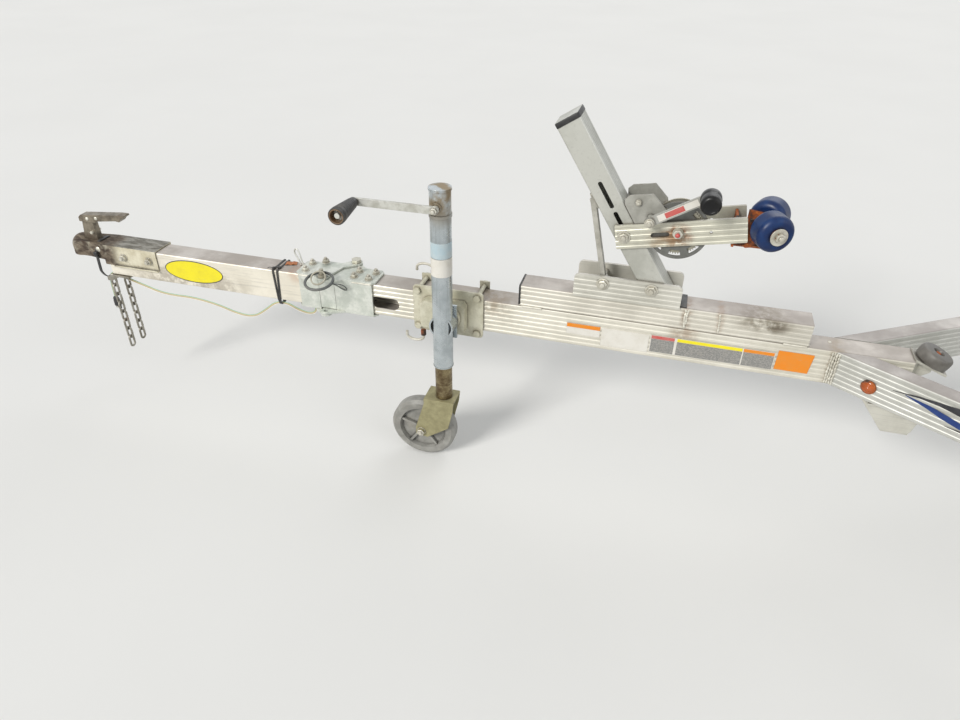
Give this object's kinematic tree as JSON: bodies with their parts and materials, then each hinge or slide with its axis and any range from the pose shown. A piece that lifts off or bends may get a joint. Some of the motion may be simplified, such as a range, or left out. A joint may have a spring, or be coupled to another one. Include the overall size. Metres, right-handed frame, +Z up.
{
  "type": "boat trailer",
  "caption": "Aluminium single-axle trailer for a personal watercraft, with fold-away tongue, swivel jack, winch post, bow rollers and carpeted bunks.",
  "frame": {"origin": "on the floor, under the middle of the trailer's box", "axes": "+X rearwards along the tongue, -Y to the trailer's left, +Z up"},
  "size_m": [5.029, 1.596, 1.0641],
  "materials": {
    "aluminium": "satin, oxidised",
    "galvanised": "zinc spangle",
    "zinc": "worn zinc plate",
    "coupler_steel": "worn black",
    "bronze_tube": "greased",
    "olive_zinc": "yellow zinc",
    "grey_plastic": "matte",
    "winch_grey": "satin",
    "fender_metal": "satin",
    "carpet": "needle felt carpet",
    "blue_roller": "satin",
    "grey_rubber": "matte",
    "black_rubber": "matte",
    "tyre": "matte",
    "rusty_steel": "rusted black",
    "red_lens": "gloss",
    "amber_lens": "gloss",
    "wire": "matte"
  },
  "bodies": {
    "frame": {"tongue_rear": "aluminium", "riser": "aluminium", "rail_left": "aluminium", "rail_right": "aluminium", "crossmembers": "aluminium", "axle_beam": "galvanised", "axle_arms": "galvanised", "fender_left": "fender_metal", "fender_right": "fender_metal", "bunk_left": "carpet", "bunk_right": "carpet", "bunk_brackets": "galvanised", "hull_pad": "grey_rubber", "hull_pad_bracket": "aluminium", "drop_bracket": "aluminium", "tail_lights": "red_lens", "side_markers": "amber_lens", "tie_down_eyes": "galvanised", "winch_post": "aluminium", "post_base_plates": "aluminium", "post_strut": "rusty_steel", "winch_arms": "aluminium", "winch_frame": "winch_grey", "winch_axle": "zinc", "bow_bracket": "rusty_steel", "jack_mount": "galvanised", "hinge_leaf_rear": "zinc"},
    "tongue": {"tongue_front": "aluminium", "coupler": "coupler_steel", "coupler_latch": "coupler_steel", "hinge_leaf_front": "zinc", "hinge_pivot_pin": "zinc", "hinge_pull_pin": "zinc", "chain_anchor": "zinc", "safety_chains": "zinc", "harness": "wire", "harness_plug": "black_rubber", "harness_grommet": "black_rubber", "harness_ties": "black_rubber"},
    "jack": {"jack_outer": "galvanised"},
    "jack_handle": {"jack_crank": "zinc"},
    "jack_leg": {"jack_inner": "bronze_tube"},
    "caster": {"caster_fork": "olive_zinc"},
    "caster_roll": {"caster_wheel": "grey_plastic"},
    "wheel_left": {"tyre_left": "tyre", "rim_left": "galvanised", "hub_left": "galvanised"},
    "wheel_right": {"tyre_right": "tyre", "rim_right": "galvanised", "hub_right": "galvanised"},
    "drum": {"winch_drum": "winch_grey"},
    "winch_handle": {"winch_crank": "winch_grey"},
    "bow_wheel_left": {"bow_roller_left": "blue_roller"},
    "bow_wheel_right": {"bow_roller_right": "blue_roller"}
  },
  "joints": [
    {"name": "tongue_fold", "type": "hinge", "parent": "frame", "child": "tongue", "pos_m": [-1.5225, 0.064, 0.4688], "axis": [0, 0, -1], "range_deg": [0, 180]},
    {"name": "jack_swing", "type": "hinge", "parent": "frame", "child": "jack", "pos_m": [-1.1815, -0.096, 0.4746], "axis": [0, -1, 0], "range_deg": [0, 90]},
    {"name": "jack_extend", "type": "slide", "parent": "jack", "child": "jack_leg", "axis": [0, 0, -1], "range_m": [-0.05, 0.2]},
    {"name": "jack_crank_turn", "type": "hinge", "parent": "jack", "child": "jack_handle", "pos_m": [-1.1815, -0.17, 0.8316], "axis": [0, -1, 0], "continuous": true},
    {"name": "caster_swivel", "type": "hinge", "parent": "jack_leg", "child": "caster", "pos_m": [-1.1815, -0.126, 0.2276], "axis": [0, 0, -1], "continuous": true},
    {"name": "caster_spin", "type": "hinge", "parent": "caster", "child": "caster_roll", "pos_m": [-1.2465, -0.126, 0.1016], "axis": [0, -1, 0], "continuous": true},
    {"name": "wheel_left_spin", "type": "hinge", "parent": "frame", "child": "wheel_left", "pos_m": [1.3025, -0.69, 0.26], "axis": [0, -1, 0], "continuous": true},
    {"name": "wheel_right_spin", "type": "hinge", "parent": "frame", "child": "wheel_right", "pos_m": [1.3025, 0.69, 0.26], "axis": [0, -1, 0], "continuous": true},
    {"name": "winch_drum_turn", "type": "hinge", "parent": "frame", "child": "drum", "pos_m": [-0.5885, 0, 0.7956], "axis": [0, -1, 0], "continuous": true},
    {"name": "winch_crank_turn", "type": "hinge", "parent": "frame", "child": "winch_handle", "pos_m": [-0.6595, -0.072, 0.8256], "axis": [0, -1, 0], "continuous": true},
    {"name": "bow_roller_left_spin", "type": "hinge", "parent": "frame", "child": "bow_wheel_left", "pos_m": [-0.37411, -0.05, 0.827], "axis": [-0.3746, 0.9272, 0], "continuous": true},
    {"name": "bow_roller_right_spin", "type": "hinge", "parent": "frame", "child": "bow_wheel_right", "pos_m": [-0.37411, 0.05, 0.827], "axis": [0.3746, 0.9272, 0], "continuous": true}
  ],
  "couplings": [
    {"joint": "winch_drum_turn", "follows": "winch_crank_turn", "ratio": -0.2459}
  ]
}
